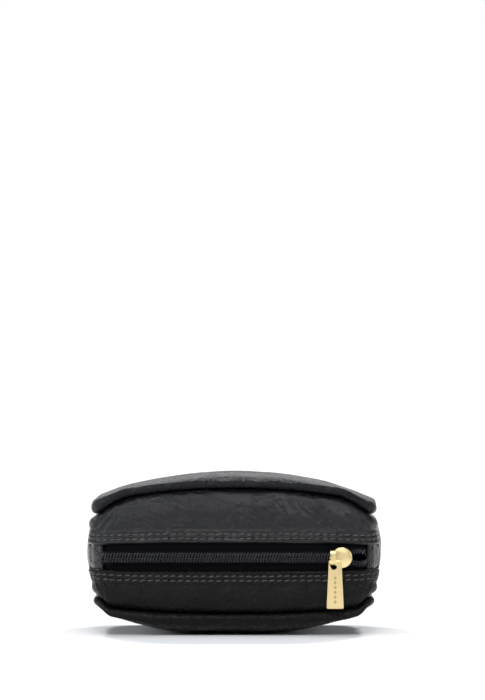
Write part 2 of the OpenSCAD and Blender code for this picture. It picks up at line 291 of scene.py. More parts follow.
def new_material(name):
    m = bpy.data.materials.new(name)
    m.use_nodes = True
    tree = m.node_tree
    tree.nodes.clear()
    out = tree.nodes.new("ShaderNodeOutputMaterial")
    shader = tree.nodes.new("ShaderNodeBsdfPrincipled")
    tree.links.new(shader.outputs[0], out.inputs[0])
    return m, tree, shader


def add(tree, kind, **values):
    """A node with its sockets or settings set by name; a pair links from another node."""
    node = tree.nodes.new(kind)
    for key, value in values.items():
        name = key.replace("_", " ")
        if hasattr(node, key) and name not in node.inputs:
            setattr(node, key, value)
            continue
        socket = node.inputs[int(key[2:])] if key.startswith("in") else node.inputs[name]
        if isinstance(value, bpy.types.NodeSocket):
            tree.links.new(value, socket)
        else:
            socket.default_value = value
    return node


def noise_node(tree, coord, size_mm, detail=2.0, rough=0.5):
    return add(tree, "ShaderNodeTexNoise", Vector=coord, Scale=1000 / size_mm,
               Detail=detail, Roughness=rough).outputs["Fac"]


def ramp(tree, value, stops):
    node = add(tree, "ShaderNodeValToRGB", Fac=value)
    ramp_data = node.color_ramp
    ramp_data.elements[0].position, ramp_data.elements[0].color = stops[0]
    ramp_data.elements[1].position, ramp_data.elements[1].color = stops[-1]
    for position, colour in stops[1:-1]:
        ramp_data.elements.new(position).color = colour
    return node.outputs["Color"]


def grey(value):
    return (value, value, value, 1)


def bump(tree, height, distance_mm, normal=None, strength=1.0):
    node = add(tree, "ShaderNodeBump", Height=height, Distance=distance_mm * MM,
               Strength=strength)
    if normal is not None:
        tree.links.new(normal, node.inputs["Normal"])
    return node.outputs["Normal"]


def leather_material(name, dark, light, rough_low, rough_high, shine, grain=0.9):
    """Soft semi-gloss nappa: pebbled grain over shallow creases."""
    m, tree, shader = new_material(name)
    coord = add(tree, "ShaderNodeTexCoord").outputs["Object"]
    warp = add(tree, "ShaderNodeTexNoise", Vector=coord, Scale=1000 / 3.0, Detail=2.0)
    warped = add(tree, "ShaderNodeVectorMath", operation="MULTIPLY_ADD",
                 in0=warp.outputs["Color"], in1=(0.0008, 0.0008, 0.0008), in2=coord).outputs[0]
    cells = add(tree, "ShaderNodeTexVoronoi", feature="DISTANCE_TO_EDGE", Vector=warped,
                Scale=1000 / grain).outputs["Distance"]
    cells = ramp(tree, cells, [(0.0, grey(0)), (0.1, grey(0.75)), (0.35, grey(1))])
    fine = noise_node(tree, coord, 0.45, 3.0, 0.6)
    creases = add(tree, "ShaderNodeTexNoise", Vector=coord, Scale=1000 / 5.5, Detail=5.0,
                  Roughness=0.62, Distortion=1.2).outputs["Fac"]
    creases = ramp(tree, creases, [(0.3, grey(0)), (0.5, grey(1)), (0.72, grey(0.25))])
    broad = noise_node(tree, coord, 14, 3.0)
    slanted = add(tree, "ShaderNodeMapping", vector_type="TEXTURE", Vector=coord,
                  Rotation=(0, -0.5, 0), Scale=(1, 1, 2.6)).outputs[0]
    streaks = add(tree, "ShaderNodeTexNoise", Vector=slanted, Scale=1000 / 1.1, Detail=2.0,
                  Roughness=0.5, Distortion=0.6).outputs["Fac"]
    amount = ramp(tree, noise_node(tree, coord, 17, 2.0), [(0.35, grey(0.35)), (0.62, grey(1))])
    folds = add(tree, "ShaderNodeMath", operation="MULTIPLY", in0=streaks, in1=amount).outputs[0]
    normal = bump(tree, broad, 2.0)
    normal = bump(tree, folds, 0.95, normal)
    normal = bump(tree, creases, 0.1, normal)
    normal = bump(tree, cells, 0.035, normal)
    normal = bump(tree, fine, 0.012, normal)
    tree.links.new(normal, shader.inputs["Normal"])
    patches = noise_node(tree, coord, 22, 4.0, 0.6)
    tone = add(tree, "ShaderNodeMix", data_type="RGBA", in0=patches, in6=dark, in7=light)
    # the colour is darkened in the grain's crevices: painted shade
    crevice_shaded = add(tree, "ShaderNodeMix", data_type="RGBA", blend_type="MULTIPLY", in0=0.35,
               in6=tone.outputs[2], in7=cells)
    tree.links.new(crevice_shaded.outputs[2], shader.inputs["Base Color"])
    rough = add(tree, "ShaderNodeMapRange", Value=creases, To_Min=rough_high, To_Max=rough_low)
    tree.links.new(rough.outputs[0], shader.inputs["Roughness"])
    shader.inputs["Specular IOR Level"].default_value = shine
    return m


def woven_material(name, colour, light, pitch_mm, rough, twill=True):
    """Fine woven cloth: two crossing waves for the yarns."""
    m, tree, shader = new_material(name)
    coord = add(tree, "ShaderNodeTexCoord").outputs["Object"]
    angle = math.radians(45 if twill else 0)
    turned = add(tree, "ShaderNodeMapping", Vector=coord, Rotation=(0.6, angle, 0.4)).outputs[0]
    warp = add(tree, "ShaderNodeTexWave", Vector=turned, Scale=1000 / pitch_mm / 6.28,
               Distortion=0.6, Detail=1.0).outputs["Fac"]
    weft = add(tree, "ShaderNodeTexWave", bands_direction="Z", Vector=turned,
               Scale=1000 / pitch_mm / 6.28, Distortion=0.6, Detail=1.0).outputs["Fac"]
    weave = add(tree, "ShaderNodeMath", operation="MULTIPLY", in0=warp, in1=weft).outputs[0]
    fuzz = noise_node(tree, coord, 0.3, 2.0)
    normal = bump(tree, weave, 0.09, strength=0.8)
    normal = bump(tree, fuzz, 0.03, normal, 0.5)
    tree.links.new(normal, shader.inputs["Normal"])
    # lighter on the raised yarns and darker in the gaps between them: painted shade
    tone = add(tree, "ShaderNodeMix", data_type="RGBA", in0=weave, in6=colour, in7=light)
    tree.links.new(tone.outputs[2], shader.inputs["Base Color"])
    shader.inputs["Roughness"].default_value = rough
    shader.inputs["Specular IOR Level"].default_value = 0.06
    return m


def coil_material():
    """Black nylon monofilament with faint lengthwise drawing marks."""
    m, tree, shader = new_material("zip_coil_nylon")
    coord = add(tree, "ShaderNodeTexCoord").outputs["Object"]
    marks = noise_node(tree, coord, 0.25, 2.0)
    tree.links.new(bump(tree, marks, 0.012, strength=0.4), shader.inputs["Normal"])
    tone = ramp(tree, noise_node(tree, coord, 2.5), [
        (0.3, (0.004, 0.004, 0.006, 1)), (0.7, (0.009, 0.009, 0.013, 1))])
    tree.links.new(tone, shader.inputs["Base Color"])
    rough = add(tree, "ShaderNodeMapRange", Value=marks, To_Min=0.16, To_Max=0.26)
    tree.links.new(rough.outputs[0], shader.inputs["Roughness"])
    return m


def thread_material():
    """Waxed olive-grey thread with a twist of fibres."""
    m, tree, shader = new_material("thread_waxed")
    coord = add(tree, "ShaderNodeTexCoord").outputs["Object"]
    turned = add(tree, "ShaderNodeMapping", Vector=coord, Rotation=(0, 0.9, 0)).outputs[0]
    twist = add(tree, "ShaderNodeTexWave", Vector=turned, Scale=1000 / 0.42 / 6.28,
                Distortion=1.0).outputs["Fac"]
    fibres = noise_node(tree, coord, 0.16, 2.0)
    normal = bump(tree, twist, 0.08, strength=0.9)
    normal = bump(tree, fibres, 0.02, normal, 0.6)
    tree.links.new(normal, shader.inputs["Normal"])
    tone = ramp(tree, noise_node(tree, coord, 4), [
        (0.3, (0.048, 0.048, 0.043, 1)), (0.7, (0.098, 0.097, 0.088, 1))])
    # darker in the grooves of the twist: painted shade
    dark = add(tree, "ShaderNodeMix", data_type="RGBA", blend_type="MULTIPLY", in0=0.6,
               in6=tone, in7=twist)
    tree.links.new(dark.outputs[2], shader.inputs["Base Color"])
    shader.inputs["Roughness"].default_value = 0.6
    return m


def metal_material(name, colour, deep, rough_low, rough_high):
    """Pale gold plating, lightly worn, with fine polishing marks."""
    m, tree, shader = new_material(name)
    coord = add(tree, "ShaderNodeTexCoord").outputs["Object"]
    stretched = add(tree, "ShaderNodeMapping", Vector=coord, Scale=(1, 1, 0.12)).outputs[0]
    marks = add(tree, "ShaderNodeTexNoise", Vector=stretched, Scale=1000 / 0.18,
                Detail=3.0).outputs["Fac"]
    dents = noise_node(tree, coord, 1.6, 3.0)
    normal = bump(tree, dents, 0.03, strength=0.5)
    normal = bump(tree, marks, 0.006, normal, 0.5)
    tree.links.new(normal, shader.inputs["Normal"])
    tone = add(tree, "ShaderNodeMix", data_type="RGBA", in0=dents, in6=colour, in7=deep)
    tree.links.new(tone.outputs[2], shader.inputs["Base Color"])
    rough = add(tree, "ShaderNodeMapRange", Value=marks, To_Min=rough_low, To_Max=rough_high)
    tree.links.new(rough.outputs[0], shader.inputs["Roughness"])
    shader.inputs["Metallic"].default_value = 1.0
    return m


# one black leather in three tones: the panels lighter than the strips is painted light from above, and
# the bluish tint of both is painted cool reflected light
panel_leather = leather_material(
    "leather_panels", (0.005, 0.0051, 0.0062, 1), (0.0085, 0.0087, 0.0103, 1), 0.26, 0.36, 0.15)
strip_leather = leather_material(
    "leather_strips", (0.0035, 0.0036, 0.0044, 1), (0.0065, 0.0066, 0.0078, 1), 0.18, 0.28, 0.34)
# the lower leather's olive tint and slight lightening are painted reflection of the floor
lower_leather = leather_material(
    "leather_lower", (0.004, 0.004, 0.0036, 1), (0.0075, 0.0074, 0.0064, 1), 0.26, 0.4, 0.13)
tape_cloth = woven_material(
    "zip_tape_weave", (0.001, 0.001, 0.0016, 1), (0.0028, 0.0028, 0.004, 1), 0.42, 0.85)
lining_cloth = woven_material(
    "lining_weave", (0.018, 0.018, 0.02, 1), (0.05, 0.05, 0.055, 1), 0.5, 0.7)
coil_nylon = coil_material()
thread = thread_material()
gold = metal_material(
    "gold_plating", (0.88, 0.72, 0.40, 1), (0.80, 0.62, 0.30, 1), 0.24, 0.36)
# darker gold for the pull's lozenges: painted shade, as in the recess of an embossing
gold_painted_shade = metal_material(
    "gold_plating_shaded", (0.58, 0.42, 0.18, 1), (0.48, 0.34, 0.13, 1), 0.36, 0.5)
spring_metal = metal_material(
    "spring_plating", (0.62, 0.54, 0.38, 1), (0.5, 0.42, 0.28, 1), 0.3, 0.45)


# ---- leather relief ----

# Creases as (u, z, half length, half width, depth, turn in degrees from upright).
STRIP_CREASES = (
    (-57.0, 53.5, 5.0, 0.75, 0.55, 28), (-60.0, 50.5, 4.2, 0.7, 0.45, 34),
    (-53.5, 55.5, 3.6, 0.65, 0.4, 20), (-64.5, 52.0, 4.6, 0.8, 0.5, 42),
    (-48.0, 57.0, 3.0, 0.7, 0.3, 12), (20.0, 61.0, 4.0, 0.7, 0.32, -35),
    (25.5, 60.0, 4.6, 0.75, 0.36, -28), (31.0, 59.0, 4.4, 0.7, 0.34, -38),
    (37.0, 58.5, 4.0, 0.7, 0.3, -30), (43.0, 57.5, 3.6, 0.7, 0.26, -26),
    (56.5, 54.0, 4.0, 0.75, 0.4, -20), (61.5, 52.5, 4.4, 0.8, 0.45, -34),
    (-20.0, 62.0, 3.0, 0.9, 0.18, 18), (-34.0, 60.0, 3.6, 0.9, 0.2, 24),
    (-58.0, 21.5, 3.6, 0.8, 0.4, -22), (-63.0, 22.5, 3.8, 0.8, 0.42, -36),
    (58.5, 21.5, 3.4, 0.8, 0.4, 24), (63.5, 22.5, 3.8, 0.8, 0.42, 38),
    (-30.0, 14.5, 3.0, 0.9, 0.2, -14), (24.0, 14.0, 3.2, 0.9, 0.2, 16),
)


def creases(u, z, table):
    """Depth of the creases at wall places u, z: a groove with soft raised sides."""
    total = np.zeros(np.broadcast(u, z).shape)
    for cu, cz, length, width, depth, turn in table:
        a = math.radians(turn)
        du, dz = u - cu, z - cz
        along = du * math.sin(a) + dz * math.cos(a)
        across = du * math.cos(a) - dz * math.sin(a)
        groove = np.exp(-((across / width) ** 2)) - 0.55 * np.exp(
            -(((np.abs(across) - 2.1 * width) / (1.2 * width)) ** 2))
        total += depth * groove * np.exp(-((along / length) ** 2))
    return total


def relief(points):
    """Slow swells and small slack folds of soft leather, in mm inwards."""
    return (
        0.7 * noise(points, 26, 3)
        + 0.28 * noise(points, 9, 11)
        + 0.1 * noise(points * np.array([1, 1, 0.6]), 3.2, 23)
    )


def end_round(u, end, radius=1.6):
    """How far a piece's face turns in towards its sewn side end."""
    t = np.clip((np.abs(u) - (end - radius)) / radius, 0, 1)
    return radius * (1 - np.sqrt(1 - t**2 * 0.999))


# ---- zip strips ----

def strip_loop(side, u):
    """Closed cross-section of a strip at u: (depth, height) pairs from the seam's tuck,
    down the outer face, round the folded edge and back up inside."""
    edge = ZIP_HEIGHT + side * half_gap(u)
    seam = high_seam(u) if side > 0 else low_seam(u)
    length = abs(seam - edge)
    shoulder = np.linspace(90, 0, 10) * math.pi / 180
    face = np.concatenate([
        np.linspace(length - 3.0, 6.8, 26)[1:], np.linspace(6.8, 0.9, 34)[1:]])
    fold = np.linspace(0, 180, 9)[1:-1] * math.pi / 180
    a = np.concatenate([
        [length - 0.05], length - 3.0 + 3.0 * np.sin(shoulder), face,
        0.75 - 0.75 * np.sin(fold), [0.9, 3.0, 6.0, length * 0.5, length - 4, length - 1.3]])
    d = np.concatenate([
        [4.6], 3.0 * (1 - np.cos(shoulder)), np.zeros(len(face)),
        0.75 * (1 - np.cos(fold)), [1.5, 1.5, 1.5, 1.35, 1.5, 4.6]])
    outer = np.arange(len(a)) <= 10 + len(face)
    return a, d, outer, edge, length


def hem_relief(u, a):
    """Relief of the folded hem: sunk stitch rows with dimples at the needle holes, and a
    small step where the turned-in leather ends."""
    total = -0.22 * np.exp(-(((a - 0.9) / 0.9) ** 2))
    for row in STITCH_ROWS:
        sunk = np.exp(-(((a - row) / 0.55) ** 2))
        hole = 0.5 - 0.5 * np.cos(2 * math.pi * (u / STITCH_PITCH))
        total += sunk * (0.14 + 0.3 * hole**3)
    total -= 0.12 * np.exp(-(((a - 3.25) / 0.55) ** 2))
    total += 0.22 / (1 + np.exp(-(a - 6.2) / 0.35)) - 0.22
    return total


def strip_points(side):
    us = np.arange(-STRIP_END, STRIP_END + 0.3, 0.62)
    us = us / us[-1] * STRIP_END
    rows = []
    for u in us:
        a, d, outer, edge, length = strip_loop(side, u)
        z = edge + side * a
        uu = np.full(len(a), u)
        p = wall(uu, z, d)
        fade = np.clip(a / 2.0, 0, 1) * np.clip((length - a) / 3.0, 0, 1)
        depth = d + end_round(uu, STRIP_END)
        depth += np.where(outer, hem_relief(uu, a), 0)
        depth += relief(p) * fade + creases(uu, z, STRIP_CREASES) * np.where(outer, fade, 0)
        puff = -1.1 * np.sin(math.pi * np.clip((a - 6.5) / (length - 6.5), 0, 1))
        rows.append(wall(uu, z, depth + puff))
    return us, np.array(rows)


def bend_with_mouth(left, right):
    """Bake each half's placement into its mesh; the halves are not bent or opened."""
    for piece, (start, end) in ((left, MOUTH_LEFT), (right, MOUTH_RIGHT)):
        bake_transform(piece)


def two_halves(name, places, points, material, flip, node):
    """One swept piece made as two that meet unseen in the middle of the mouth: both take
    their shading from the whole piece."""
    whole = loop_sweep(name, points, material, flip)
    columns = points.shape[1]
    normals = np.array([v.normal[:] for v in whole.data.vertices]).reshape(-1, columns, 3)
    bpy.data.objects.remove(whole)
    cut = int(np.argmin(np.abs(places - MOUTH_SPLIT)))
    pair = []
    for side, rows in (("left", slice(0, cut + 1)), ("right", slice(cut, None))):
        piece = loop_sweep(f"{name}_{side}", points[rows], material, flip)
        piece.data.normals_split_custom_set_from_vertices(normals[rows].reshape(-1, 3).tolist())
        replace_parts(piece, node)
        pair.append(piece)
    bend_with_mouth(*pair)
    return pair


us, front_strip = strip_points(1)
two_halves("strip_front", us, front_strip, strip_leather, True, "zip_strip_front")

us, back_strip = strip_points(-1)
strip_low = loop_sweep("strip_back", back_strip, lower_leather)
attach(strip_low, "purse")
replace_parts(strip_low, "zip_strip_back")


# ---- gusset ----

def gusset_points():
    start = STRIP_END + 0.15
    us = np.linspace(start, 2 * HALF_OUTLINE - start, 290)
    rows = []
    for u in us:
        low, high = low_seam(u), high_seam(u)
        turn = np.linspace(90, 0, 10) * math.pi / 180
        z = np.concatenate([
            [low + 0.05], low + 3 - 3 * np.sin(turn), np.linspace(low + 3, high - 3, 42)[1:],
            (high - 3 + 3 * np.sin(turn))[::-1][1:], [high - 0.05]])
        d = np.concatenate([
            [4.6], 3 * (1 - np.cos(turn)), np.zeros(41), (3 * (1 - np.cos(turn)))[::-1][1:],
            [4.6]])
        uu = np.full(len(z), u)
        p = wall(uu, z, d)
        fade = np.clip((z - low) / 3, 0, 1) * np.clip((high - z) / 3, 0, 1)
        sag = np.sin(math.pi * np.clip((z - low) / (high - low), 0, 1))
        mid = np.clip((u - start) / 12, 0, 1) * np.clip((2 * HALF_OUTLINE - start - u) / 12, 0, 1)
        to_end = np.minimum(u - start, 2 * HALF_OUTLINE - start - u)
        t = np.clip(1 - to_end / 1.6, 0, 1)
        depth = d + relief(p) * fade * 1.3 + 1.6 * (1 - np.sqrt(1 - t**2 * 0.999))
        depth -= 0.9 * sag * mid
        folds = noise(np.stack([uu * 0.9, z * 0.25, 0 * z], -1), 5.5, 41)
        near_seam = np.exp(-((z - low) / 9) ** 2) + np.exp(-((high - z) / 9) ** 2)
        depth += 0.35 * folds * near_seam * fade
        rows.append(np.concatenate([wall(uu, z, depth), wall(uu, z, depth + 1.1)[::-1]]))
    return np.array(rows)


gusset = loop_sweep("gusset", gusset_points(), strip_leather)
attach(gusset, "purse")
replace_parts(gusset, "side_gusset")


# ---- panels ----

# The rolled lip of a turned seam, as (distance out from the wall, height past the seam).
LIP = (
    (-4.2, 0.12), (-2.6, 0.12), (-1.2, 0.16), (-0.1, 0.3), (0.75, 0.65), (1.3, 1.2),
    (1.6, 1.9), (1.62, 2.6), (1.42, 3.3), (1.0, 3.9),
)
RINGS = np.concatenate([1 - np.linspace(0.004, 0.16, 16) ** 1.0, np.linspace(0.8, 0.06, 26)])


def around():
    """Outline distances for a panel, closer together along the zip's side."""
    front = np.arange(-STRIP_END, STRIP_END, 0.72)
    back = np.arange(STRIP_END, 2 * HALF_OUTLINE - STRIP_END, 1.5)
    return np.concatenate([front, back])


def upper_ridge(x):
    """Height of the top of the purse over a place x of its width."""
    return 74.1 - 9.0 * (np.minimum(np.abs(x), 62) / 62) ** 1.7


def lower_ridge(x):
    """Height of the belly's underside."""
    return -0.6 + 8.2 * (np.minimum(np.abs(x), HALF_WIDTH) / 57) ** 2.5


def fullness(share, puffed):
    """How full a panel is, from 0 at its rim (share 1) to 1: a puffed one is full a short
    way in, and the other fills slowly."""
    t = np.clip((share - 0.66) / 0.34, 0, 1)
    return (1 - t**2.2) ** 0.55 if puffed else (1 - share**3) ** 0.45


def panel(name, side, seam, ridge, material, flat=None):
    """A dished panel with a rolled lip. side is 1 for the upper panel and -1 for the lower."""
    u = around()
    at_seam = seam(u)
    x, y, h = outline(u)
    back = lean(u, at_seam)
    nx, ny = np.sin(h), -np.cos(h)
    bx, by = x - nx * back, y - ny * back
    wide = 1 + 0.12 * noise(np.stack([u, 0 * u, 0 * u], -1), 17, 5)
    corner = smooth((np.abs(x) - 54) / 12)
    wide_out = wide * (1 - 0.15 * corner)
    tall = wide * (1 + (0.3 if side > 0 else 0.0) * corner)
    columns = []
    for out, rise in LIP:
        columns.append(np.stack([
            bx + nx * out * wide_out, by + ny * out * wide_out, at_seam + side * rise * tall], -1))
    out, rise = LIP[-1]
    rx, ry = bx + nx * out * wide_out, by + ny * out * wide_out
    base = at_seam + side * rise * tall
    for s in RINGS:
        z = base + (ridge(rx * s) - base) * fullness(s, side > 0)
        columns.append(np.stack([rx * s, CENTRE_Y + (ry - CENTRE_Y) * s, z], -1))
    grid = np.array(columns)
    # swells and puckers, strongest near the seam and gone in the tucked part
    share = np.concatenate([np.linspace(0, 1, len(LIP)) ** 2, np.ones(len(RINGS))])
    near = np.concatenate([np.ones(len(LIP)), np.exp(-((1 - RINGS) / 0.12) ** 2)])
    swell = 0.55 * noise(grid, 30, 7) + 0.22 * noise(grid, 11, 13) + 0.06 * noise(grid, 4, 17)
    pucker_at = np.broadcast_to(
        np.stack([u * 1.0, 0 * u, 0 * u], -1), grid.shape)
    pucker = noise(pucker_at, 6.5, 31) + 0.5 * noise(pucker_at, 3.2, 37)
    grid[..., 2] -= side * (swell * share[:, None] + 0.28 * pucker * (near * share)[:, None])
    if flat is not None:
        grid[..., 2] = np.maximum(grid[..., 2], flat)
    middle = grid[-1].mean(0)
    rows, columns_n = grid.shape[:2]
    upper = side > 0
    faces = grid_faces(rows, columns_n, wrap_columns=True, flip=upper)
    last = (rows - 1) * columns_n
    hub = rows * columns_n
    for j in range(columns_n):
        a, b = last + j, last + (j + 1) % columns_n
        faces.append([a, b, hub] if upper else [b, a, hub])
    points = np.concatenate([grid.reshape(-1, 3), middle[None]])
    piece = make_mesh(name, points, faces, material)
    thicken = piece.modifiers.new("thickness", "SOLIDIFY")
    thicken.thickness = 0.9 * MM
    thicken.offset = -1
    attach(piece, "purse")
    return piece


top = panel("panel_front", 1, high_seam, upper_ridge, panel_leather)
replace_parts(top, "front_panel")
bottom = panel("panel_back", -1, low_seam, lower_ridge, lower_leather, flat=0.0)
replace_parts(bottom, "back_panel")


# ---- end tabs ----

def end_tab(name, x):
    """Leather patch over the zip's end, folded under at its inner edge."""
    mirror = -1 if x < 0 else 1
    start = corner_u(x)
    v = np.linspace(0, 1, 30)
    fold = np.linspace(180, 0, 9) * math.pi / 180
    near = np.concatenate([[2.0, 1.2], 0.6 - 0.6 * np.sin(fold)])
    near_depth = np.concatenate([[1.3, 1.3], 0.65 - 0.65 * np.cos(fold)])
    far = np.linspace(0.9, STRIP_END - start, 40)
    steps = np.concatenate([near, far])
    depth = np.concatenate([near_depth, np.zeros(len(far))])
    z = ZIP_HEIGHT + (v * 2 - 1) * TAB_HALF
    uu, zz = np.meshgrid(start + steps, z, indexing="ij")
    dd = np.broadcast_to(depth[:, None], uu.shape).copy()
    outer = (np.arange(len(steps)) > 5)[:, None]
    dist = uu - start
    hem = -0.3 * np.exp(-(((dist - 0.9) / 0.8) ** 2)) + 0.2 * np.exp(-(((dist - 2.2) / 0.5) ** 2))
    p = wall(uu * mirror, zz, dd)
    # near the side seam the tab swells out through the gap between the strips
    swell = smooth((uu - STRIP_END + 7) / 6) * smooth((half_gap(uu) - np.abs(zz - ZIP_HEIGHT)) / 1.8)
    dd = dd + np.where(outer, hem + 0.4 * relief(p) - 1.35 * swell, 0)
    outer_grid = wall(uu * mirror, zz, dd + TAB_DEPTH)
    inner_grid = wall(uu * mirror, zz, np.maximum(dd + 0.7, 1.35) + TAB_DEPTH)
    piece = shell(name, outer_grid, inner_grid, strip_leather, flip=mirror < 0)
    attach(piece, "purse")
    return piece


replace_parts(end_tab("tab_left", LEFT_TAB_X), "end_tab_left")
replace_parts(end_tab("tab_right", RIGHT_TAB_X), "end_tab_right")


# ---- zip tapes ----

def tape_points(side):
    us = np.linspace(-66, 66, 265)
    steps = np.linspace(0, 1, 16)
    dip = 1.4 * np.clip((np.abs(us) - 57) / 3, 0, 1)
    inner_edge = side * (row_middle(us) - 0.9)
    outer_edge = side * 12.0
    loops = []
    for u, d, near in zip(us, dip, inner_edge):
        z = ZIP_HEIGHT + near + (outer_edge - near) * steps
        uu = np.full(len(z), u)
        # the tape is a little thicker where the coil is sewn on, then lies back
        rise = -0.25 * np.exp(-(((steps - 0.28) / 0.07) ** 2))
        wave = 0.12 * noise(np.stack([uu, z, 0 * z], -1), 8, 51)
        depth = TAPE_DEPTH + d + rise + wave
        loops.append(np.concatenate([wall(uu, z, depth), wall(uu, z, depth + 0.45)[::-1]]))
    return us, np.array(loops)


us, front_tape = tape_points(1)
two_halves("tape_front", us, front_tape, tape_cloth, False, "zip_tape_front")

us, back_tape = tape_points(-1)
tape_low = loop_sweep("tape_back", back_tape, tape_cloth, flip=True)
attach(tape_low, "purse")
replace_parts(tape_low, "zip_tape_back")


# ---- zip coils ----

def coil_path(side, phase, slant):
    """Centre line of one wound coil row, as x, y, z in mm."""
    start = LEFT_TAB_X + 0.7 + phase
    turns = int((RIGHT_TAB_X - 1.2 - start) / COIL_PITCH)
    steps = 18
    phi = np.arange(turns * steps + 1) / steps * 2 * math.pi
    x = start + COIL_PITCH * phi / (2 * math.pi)
    c, s = np.cos(phi), np.sin(phi)
    reach = np.sign(c) * np.abs(c) ** 0.7
    height = np.sign(s) * np.abs(s) ** 0.75
    x = x - slant * reach * (s > 0)
    across = row_middle(x) - (ROW_HALF - 0.32) * reach
    y = FRONT_Y + TAPE_DEPTH - 1.02 - 0.66 * height
    return np.stack([x, y, ZIP_HEIGHT + side * across], -1)


def coil_pieces(side, phase, slant):
    path = coil_path(side, phase, slant)
    return path, tube(path, 0.31, 8)


def sewing_line(side, offset):
    """Chain stitching that holds a coil row to its tape."""
    x = np.arange(LEFT_TAB_X + 1, RIGHT_TAB_X - 1, 0.22)
    y = FRONT_Y + TAPE_DEPTH - 2.02 + 0.16 * np.cos(2 * math.pi * x / COIL_PITCH)
    z = ZIP_HEIGHT + side * (row_middle(x) + offset + 0.06 * np.sin(4 * math.pi * x / COIL_PITCH))
    return np.stack([x, y, z], -1)


def split_path(path):
    cut = int(np.argmin(np.abs(path[:, 0] - MOUTH_SPLIT)))
    return path[: cut + 1], path[cut:]


front_coil = coil_path(1, 0, 0.28)
front_sewing = sewing_line(1, 1.0)
coil_halves = []
for name, part, sewn in zip(("coil_front_left", "coil_front_right"), split_path(front_coil),
                            split_path(front_sewing)):
    piece = join_grids(name, [tube(part, 0.31, 8)], coil_nylon)
    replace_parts(piece, "zip_coil_front")
    line = join_grids(name.replace("coil", "coil_sewing"), [tube(sewn, 0.13, 6)], tape_cloth)
    coil_halves.append((piece, line))
bend_with_mouth(coil_halves[0][0], coil_halves[1][0])
bend_with_mouth(coil_halves[0][1], coil_halves[1][1])

coil_low = join_grids("coil_back", [tube(coil_path(-1, COIL_PITCH / 2, -0.3), 0.31, 8)], coil_nylon)
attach(coil_low, "purse")
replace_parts(coil_low, "zip_coil_back")
sewing_low = join_grids("coil_sewing_back", [tube(sewing_line(-1, 1.0), 0.13, 6)], tape_cloth)
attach(sewing_low, "purse")


# ---- stitching ----

jitter = np.random.default_rng(12)


def stitch_tube(u_middle, z_of, depth_of):
    """One thread stitch between two needle holes: it dives in at both ends."""
    t = np.linspace(-1, 1, 13)
    du = jitter.normal(0, 0.07)
    dz = jitter.normal(0, 0.06)
    tilt = jitter.normal(0, 0.05)
    length = 1.2 + jitter.normal(0, 0.05)
    u = u_middle + du + t * length
    z = z_of(u) + dz + (0.18 + tilt) * t
    dive = 0.6 * np.abs(t) ** 4
    p = wall(u, z, depth_of + dive)
    radius = 0.3 * np.sqrt(np.clip(1 - 0.55 * t**8, 0.2, 1))
    return tube(p, radius, 8)


def strip_stitches(side):
    grids = []
    half_count = int((STRIP_END - 3) / STITCH_PITCH)
    for row in STITCH_ROWS:
        for i in range(-half_count, half_count + 1):
            u = i * STITCH_PITCH

            def height(v, row=row):
                return ZIP_HEIGHT + side * (half_gap(v) + row)
            p = wall(np.array([u]), np.array([height(np.array([u]))[0]]), 0)
            settle = float(relief(p)[0]) * 0.9
            grids.append((u, stitch_tube(u, height, -0.1 + settle)))
    return grids


def stitch_piece(name, grids):
    piece = join_grids(name, grids, thread)
    return piece


grids = strip_stitches(1)
stitches_left = stitch_piece("stitches_front_left", [g for u, g in grids if u <= MOUTH_SPLIT])
stitches_right = stitch_piece("stitches_front_right", [g for u, g in grids if u > MOUTH_SPLIT])
bend_with_mouth(stitches_left, stitches_right)
for piece in (stitches_left, stitches_right):
    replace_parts(piece, "stitches_strip_front")
stitches_low = stitch_piece("stitches_back", [g for u, g in strip_stitches(-1)])
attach(stitches_low, "purse")
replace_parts(stitches_low, "stitches_strip_back")


def tab_stitches(name, x, node):
    """Upright row beside the tab's folded edge."""
    mirror = -1 if x < 0 else 1
    u = mirror * (corner_u(x) + 2.2)
    grids = []
    for i in (-1, 0, 1):
        t = np.linspace(-1, 1, 13)
        z = ZIP_HEIGHT + i * STITCH_PITCH + t * 1.4
        p = wall(np.full(13, u) + 0.04 * t, z, TAB_DEPTH + 0.05 + 0.55 * np.abs(t) ** 5)
        grids.append(tube(p, 0.28 * np.sqrt(np.clip(1 - 0.55 * t**8, 0.2, 1)), 8))
    piece = stitch_piece(name, grids)
    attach(piece, "purse")
    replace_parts(piece, node)


tab_stitches("stitches_tab_l", LEFT_TAB_X, "stitches_tab_left")
tab_stitches("stitches_tab_r", RIGHT_TAB_X, "stitches_tab_right")


# ---- linings ----

def lining_points(u_start, u_end, count, low, high, depth, wave):
    """A strip of lining on the inside of the wall, as closed cross-sections."""
    us = np.linspace(u_start, u_end, count)
    steps = np.linspace(0, 1, 24)
    uu, vv = np.meshgrid(us, steps, indexing="ij")
    zz = low(uu) + (high(uu) - low(uu)) * vv
    edge_fade = np.sin(math.pi * vv) ** 0.5
    slack = wave * (0.5 + 0.5 * noise(np.stack([uu, zz * 0.4, 0 * uu], -1), 11, 61)) * edge_fade
    outer = wall(uu, zz, depth + slack)
    inner = wall(uu, zz, depth + slack + 0.35)
    taut = wall(us, 0 * us + ZIP_HEIGHT, depth)
    run = np.linalg.norm(np.diff(taut, axis=0), axis=1).sum()
    cut = run * float((high(us) - low(us)).mean())
    return us, np.concatenate([outer, inner[:, ::-1]], axis=1), cut


us, facing, cut = lining_points(
    -58, 58, 160, lambda u: 0 * u + ZIP_HEIGHT + 6.9, lambda u: high_seam(u) - 1, 3.5, 0.0)
facing_left, facing_right = two_halves(
    "lining_facing", us, facing, lining_cloth, False, "lining_strip_front")


def fixed_lining(name, points, node):
    piece = loop_sweep(name, points, lining_cloth)
    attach(piece, "purse")
    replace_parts(piece, node)


